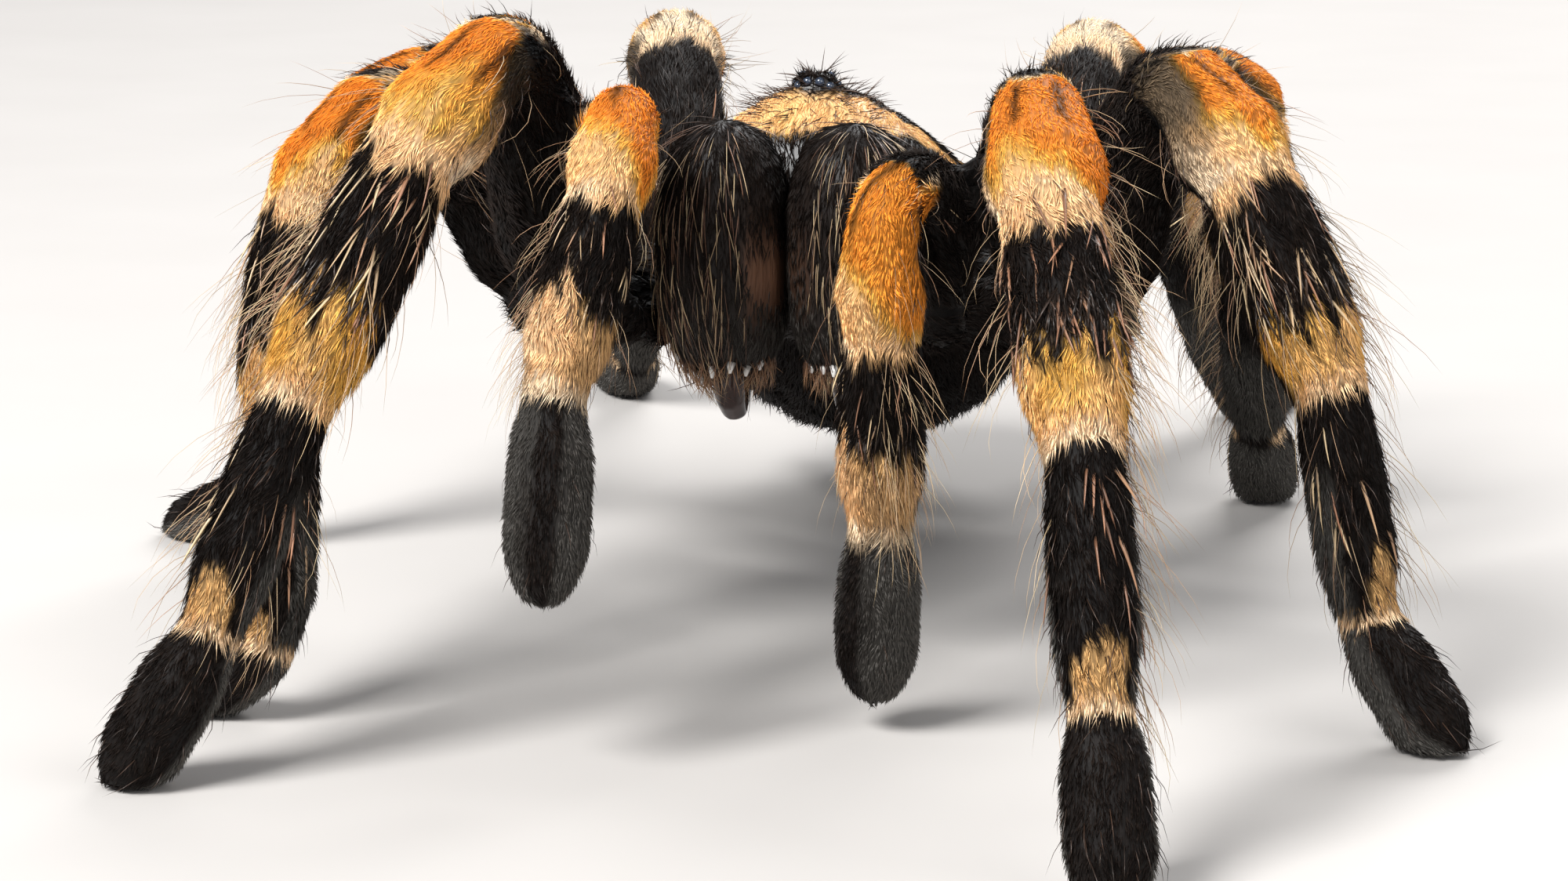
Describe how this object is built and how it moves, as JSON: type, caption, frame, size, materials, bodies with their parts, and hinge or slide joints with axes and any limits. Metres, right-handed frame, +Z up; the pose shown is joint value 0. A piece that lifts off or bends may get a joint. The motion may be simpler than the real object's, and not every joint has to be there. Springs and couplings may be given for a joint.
{
  "type": "tarantula",
  "caption": "Life-size still model of a red-kneed tarantula, standing tall on its front legs with both palps clear of the floor.",
  "frame": {"origin": "on the floor, under the centre of the animal's bounding box", "axes": "+Z up, the animal faces -Y, +X towards its own left side"},
  "size_m": [0.0708, 0.1042, 0.0324],
  "materials": {
    "black_coat": "short black velvet coat with longer pale bristles",
    "orange_coat": "short orange velvet, paler towards the lower end, with two dark stripes",
    "carapace_shell": "hard shell under a thin flat fringe of cream to salmon hair, dark in the middle",
    "abdomen_coat": "dense black to brown hair with long reddish bristles",
    "horn": "smooth, glossy, nearly black horn"
  },
  "bodies": {
    "root": {"abdomen": "abdomen_coat", "carapace": "carapace_shell", "chelicera_left": "black_coat", "chelicera_right": "black_coat", "eye_tubercle": "horn", "fang_left": "horn", "fang_right": "horn", "leg_1_left_femur": "black_coat", "leg_1_left_metatarsus": "black_coat", "leg_1_left_patella": "orange_coat", "leg_1_left_tarsus": "black_coat", "leg_1_left_tibia": "black_coat", "leg_1_right_femur": "black_coat", "leg_1_right_metatarsus": "black_coat", "leg_1_right_patella": "orange_coat", "leg_1_right_tarsus": "black_coat", "leg_1_right_tibia": "black_coat", "leg_2_left_femur": "black_coat", "leg_2_left_metatarsus": "black_coat", "leg_2_left_patella": "orange_coat", "leg_2_left_tarsus": "black_coat", "leg_2_left_tibia": "black_coat", "leg_2_right_femur": "black_coat", "leg_2_right_metatarsus": "black_coat", "leg_2_right_patella": "orange_coat", "leg_2_right_tarsus": "black_coat", "leg_2_right_tibia": "black_coat", "leg_3_left_femur": "black_coat", "leg_3_left_metatarsus": "black_coat", "leg_3_left_patella": "orange_coat", "leg_3_left_tarsus": "black_coat", "leg_3_left_tibia": "black_coat", "leg_3_right_femur": "black_coat", "leg_3_right_metatarsus": "black_coat", "leg_3_right_patella": "orange_coat", "leg_3_right_tarsus": "black_coat", "leg_3_right_tibia": "black_coat", "leg_4_left_femur": "black_coat", "leg_4_left_metatarsus": "black_coat", "leg_4_left_patella": "orange_coat", "leg_4_left_tarsus": "black_coat", "leg_4_left_tibia": "black_coat", "leg_4_right_femur": "black_coat", "leg_4_right_metatarsus": "black_coat", "leg_4_right_patella": "orange_coat", "leg_4_right_tarsus": "black_coat", "leg_4_right_tibia": "black_coat", "palp_left_femur": "black_coat", "palp_left_patella": "orange_coat", "palp_left_tarsus": "black_coat", "palp_left_tibia": "black_coat", "palp_right_femur": "black_coat", "palp_right_patella": "orange_coat", "palp_right_tarsus": "black_coat", "palp_right_tibia": "black_coat", "pedicel": "black_coat", "spinneret_left": "black_coat", "spinneret_right": "black_coat", "sternum_and_coxae": "black_coat"}
  },
  "joints": []
}
